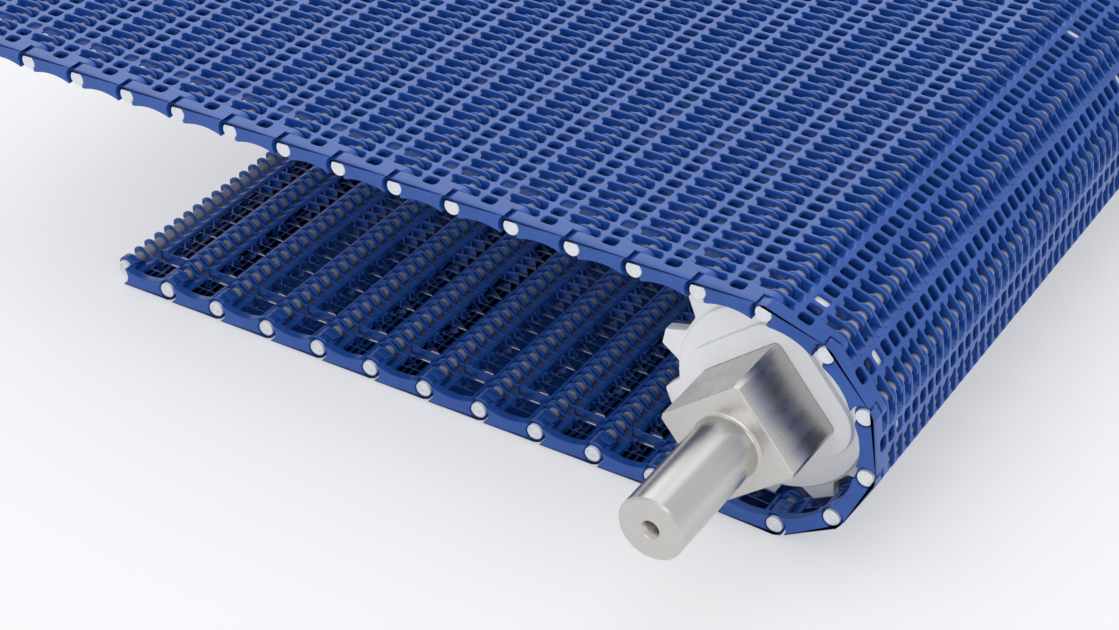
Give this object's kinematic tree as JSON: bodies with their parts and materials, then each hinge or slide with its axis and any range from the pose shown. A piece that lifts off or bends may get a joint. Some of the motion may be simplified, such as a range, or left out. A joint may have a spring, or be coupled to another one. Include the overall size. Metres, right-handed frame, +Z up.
{
  "type": "modular plastic belt",
  "caption": "Flush-grid modular plastic belt wrapped half round two sprockets on a square drive shaft, with level carry and return runs hinged row by row on headed rods.",
  "frame": {"origin": "on the surface the return run lies on, below the middle of the assembly's box", "axes": "+X along the carry run towards the nose, +Y along the shaft away from the rod heads, +Z up"},
  "size_m": [0.432, 0.4448, 0.0975],
  "materials": {
    "belt_blue": "moulded royal blue, glossy",
    "rod_milky": "milky, slightly translucent",
    "sprocket_white": "machined white, satin",
    "shaft_steel": "turned and drawn stainless, bright"
  },
  "bodies": {
    "nose": {"wrapped_rows_top": "belt_blue", "wrapped_rows_nose": "belt_blue", "wrapped_rows_bottom": "belt_blue", "wrapped_rods": "rod_milky"},
    "shaft": {"drive_shaft": "shaft_steel", "sprocket_near": "sprocket_white", "sprocket_far": "sprocket_white"},
    "carry_1": {"carry_row_1": "belt_blue", "carry_rod_1": "rod_milky"},
    "carry_2": {"carry_row_2": "belt_blue", "carry_rod_2": "rod_milky"},
    "carry_3": {"carry_row_3": "belt_blue", "carry_rod_3": "rod_milky"},
    "carry_4": {"carry_row_4": "belt_blue", "carry_rod_4": "rod_milky"},
    "carry_5": {"carry_row_5": "belt_blue", "carry_rod_5": "rod_milky"},
    "carry_6": {"carry_row_6": "belt_blue", "carry_rod_6": "rod_milky"},
    "carry_7": {"carry_row_7": "belt_blue", "carry_rod_7": "rod_milky"},
    "carry_8": {"carry_row_8": "belt_blue", "carry_rod_8": "rod_milky"},
    "carry_9": {"carry_row_9": "belt_blue", "carry_rod_9": "rod_milky"},
    "carry_10": {"carry_row_10": "belt_blue", "carry_rod_10": "rod_milky"},
    "carry_11": {"carry_row_11": "belt_blue", "carry_rod_11": "rod_milky"},
    "carry_12": {"carry_row_12": "belt_blue", "carry_rod_12": "rod_milky"},
    "carry_13": {"carry_row_13": "belt_blue", "carry_rod_13": "rod_milky"},
    "carry_14": {"carry_row_14": "belt_blue", "carry_rod_14": "rod_milky"},
    "carry_15": {"carry_row_15": "belt_blue", "carry_rod_15": "rod_milky"},
    "return_1": {"return_row_1": "belt_blue", "return_rod_1": "rod_milky"},
    "return_2": {"return_row_2": "belt_blue", "return_rod_2": "rod_milky"},
    "return_3": {"return_row_3": "belt_blue", "return_rod_3": "rod_milky"},
    "return_4": {"return_row_4": "belt_blue", "return_rod_4": "rod_milky"},
    "return_5": {"return_row_5": "belt_blue", "return_rod_5": "rod_milky"},
    "return_6": {"return_row_6": "belt_blue", "return_rod_6": "rod_milky"},
    "return_7": {"return_row_7": "belt_blue", "return_rod_7": "rod_milky"},
    "return_8": {"return_row_8": "belt_blue", "return_rod_8": "rod_milky"},
    "return_9": {"return_row_9": "belt_blue", "return_rod_9": "rod_milky"},
    "return_10": {"return_row_10": "belt_blue", "return_rod_10": "rod_milky"},
    "return_11": {"return_row_11": "belt_blue", "return_rod_11": "rod_milky", "end_rod": "rod_milky"}
  },
  "joints": [
    {"name": "shaft_turn", "type": "hinge", "parent": "nose", "child": "shaft", "pos_m": [0.16737, 0, 0.04811], "axis": [0, 1, 0], "range_deg": [-0.8, 0.8]},
    {"name": "carry_hinge_1", "type": "hinge", "parent": "nose", "child": "carry_1", "pos_m": [0.16934, 0, 0.09315], "axis": [0, 1, 0], "range_deg": [0, 8]},
    {"name": "carry_hinge_2", "type": "hinge", "parent": "carry_1", "child": "carry_2", "pos_m": [0.14394, 0, 0.09315], "axis": [0, 1, 0], "range_deg": [0, 8]},
    {"name": "carry_hinge_3", "type": "hinge", "parent": "carry_2", "child": "carry_3", "pos_m": [0.11854, 0, 0.09315], "axis": [0, 1, 0], "range_deg": [0, 8]},
    {"name": "carry_hinge_4", "type": "hinge", "parent": "carry_3", "child": "carry_4", "pos_m": [0.09313, 0, 0.09315], "axis": [0, 1, 0], "range_deg": [0, 8]},
    {"name": "carry_hinge_5", "type": "hinge", "parent": "carry_4", "child": "carry_5", "pos_m": [0.06774, 0, 0.09315], "axis": [0, 1, 0], "range_deg": [0, 8]},
    {"name": "carry_hinge_6", "type": "hinge", "parent": "carry_5", "child": "carry_6", "pos_m": [0.04233, 0, 0.09315], "axis": [0, 1, 0], "range_deg": [0, 8]},
    {"name": "carry_hinge_7", "type": "hinge", "parent": "carry_6", "child": "carry_7", "pos_m": [0.01693, 0, 0.09315], "axis": [0, 1, 0], "range_deg": [0, 8]},
    {"name": "carry_hinge_8", "type": "hinge", "parent": "carry_7", "child": "carry_8", "pos_m": [-0.00847, 0, 0.09315], "axis": [0, 1, 0], "range_deg": [0, 8]},
    {"name": "carry_hinge_9", "type": "hinge", "parent": "carry_8", "child": "carry_9", "pos_m": [-0.03386, 0, 0.09315], "axis": [0, 1, 0], "range_deg": [0, 8]},
    {"name": "carry_hinge_10", "type": "hinge", "parent": "carry_9", "child": "carry_10", "pos_m": [-0.05926, 0, 0.09315], "axis": [0, 1, 0], "range_deg": [0, 8]},
    {"name": "carry_hinge_11", "type": "hinge", "parent": "carry_10", "child": "carry_11", "pos_m": [-0.08467, 0, 0.09315], "axis": [0, 1, 0], "range_deg": [0, 8]},
    {"name": "carry_hinge_12", "type": "hinge", "parent": "carry_11", "child": "carry_12", "pos_m": [-0.11006, 0, 0.09315], "axis": [0, 1, 0], "range_deg": [0, 8]},
    {"name": "carry_hinge_13", "type": "hinge", "parent": "carry_12", "child": "carry_13", "pos_m": [-0.13547, 0, 0.09315], "axis": [0, 1, 0], "range_deg": [0, 8]},
    {"name": "carry_hinge_14", "type": "hinge", "parent": "carry_13", "child": "carry_14", "pos_m": [-0.16087, 0, 0.09315], "axis": [0, 1, 0], "range_deg": [0, 8]},
    {"name": "carry_hinge_15", "type": "hinge", "parent": "carry_14", "child": "carry_15", "pos_m": [-0.18626, 0, 0.09315], "axis": [0, 1, 0], "range_deg": [0, 8]},
    {"name": "return_hinge_1", "type": "hinge", "parent": "nose", "child": "return_1", "pos_m": [0.15279, 0, 0.00546], "axis": [0, 1, 0], "range_deg": [0, 8]},
    {"name": "return_hinge_2", "type": "hinge", "parent": "return_1", "child": "return_2", "pos_m": [0.12742, 0, 0.00435], "axis": [0, 1, 0], "range_deg": [0, 8]},
    {"name": "return_hinge_3", "type": "hinge", "parent": "return_2", "child": "return_3", "pos_m": [0.10202, 0, 0.00435], "axis": [0, 1, 0], "range_deg": [0, 8]},
    {"name": "return_hinge_4", "type": "hinge", "parent": "return_3", "child": "return_4", "pos_m": [0.07662, 0, 0.00435], "axis": [0, 1, 0], "range_deg": [0, 8]},
    {"name": "return_hinge_5", "type": "hinge", "parent": "return_4", "child": "return_5", "pos_m": [0.05122, 0, 0.00435], "axis": [0, 1, 0], "range_deg": [0, 8]},
    {"name": "return_hinge_6", "type": "hinge", "parent": "return_5", "child": "return_6", "pos_m": [0.02582, 0, 0.00435], "axis": [0, 1, 0], "range_deg": [0, 8]},
    {"name": "return_hinge_7", "type": "hinge", "parent": "return_6", "child": "return_7", "pos_m": [0.00042, 0, 0.00435], "axis": [0, 1, 0], "range_deg": [0, 8]},
    {"name": "return_hinge_8", "type": "hinge", "parent": "return_7", "child": "return_8", "pos_m": [-0.02498, 0, 0.00435], "axis": [0, 1, 0], "range_deg": [0, 8]},
    {"name": "return_hinge_9", "type": "hinge", "parent": "return_8", "child": "return_9", "pos_m": [-0.05038, 0, 0.00435], "axis": [0, 1, 0], "range_deg": [0, 8]},
    {"name": "return_hinge_10", "type": "hinge", "parent": "return_9", "child": "return_10", "pos_m": [-0.07578, 0, 0.00435], "axis": [0, 1, 0], "range_deg": [0, 8]},
    {"name": "return_hinge_11", "type": "hinge", "parent": "return_10", "child": "return_11", "pos_m": [-0.10118, 0, 0.00435], "axis": [0, 1, 0], "range_deg": [0, 8]}
  ]
}
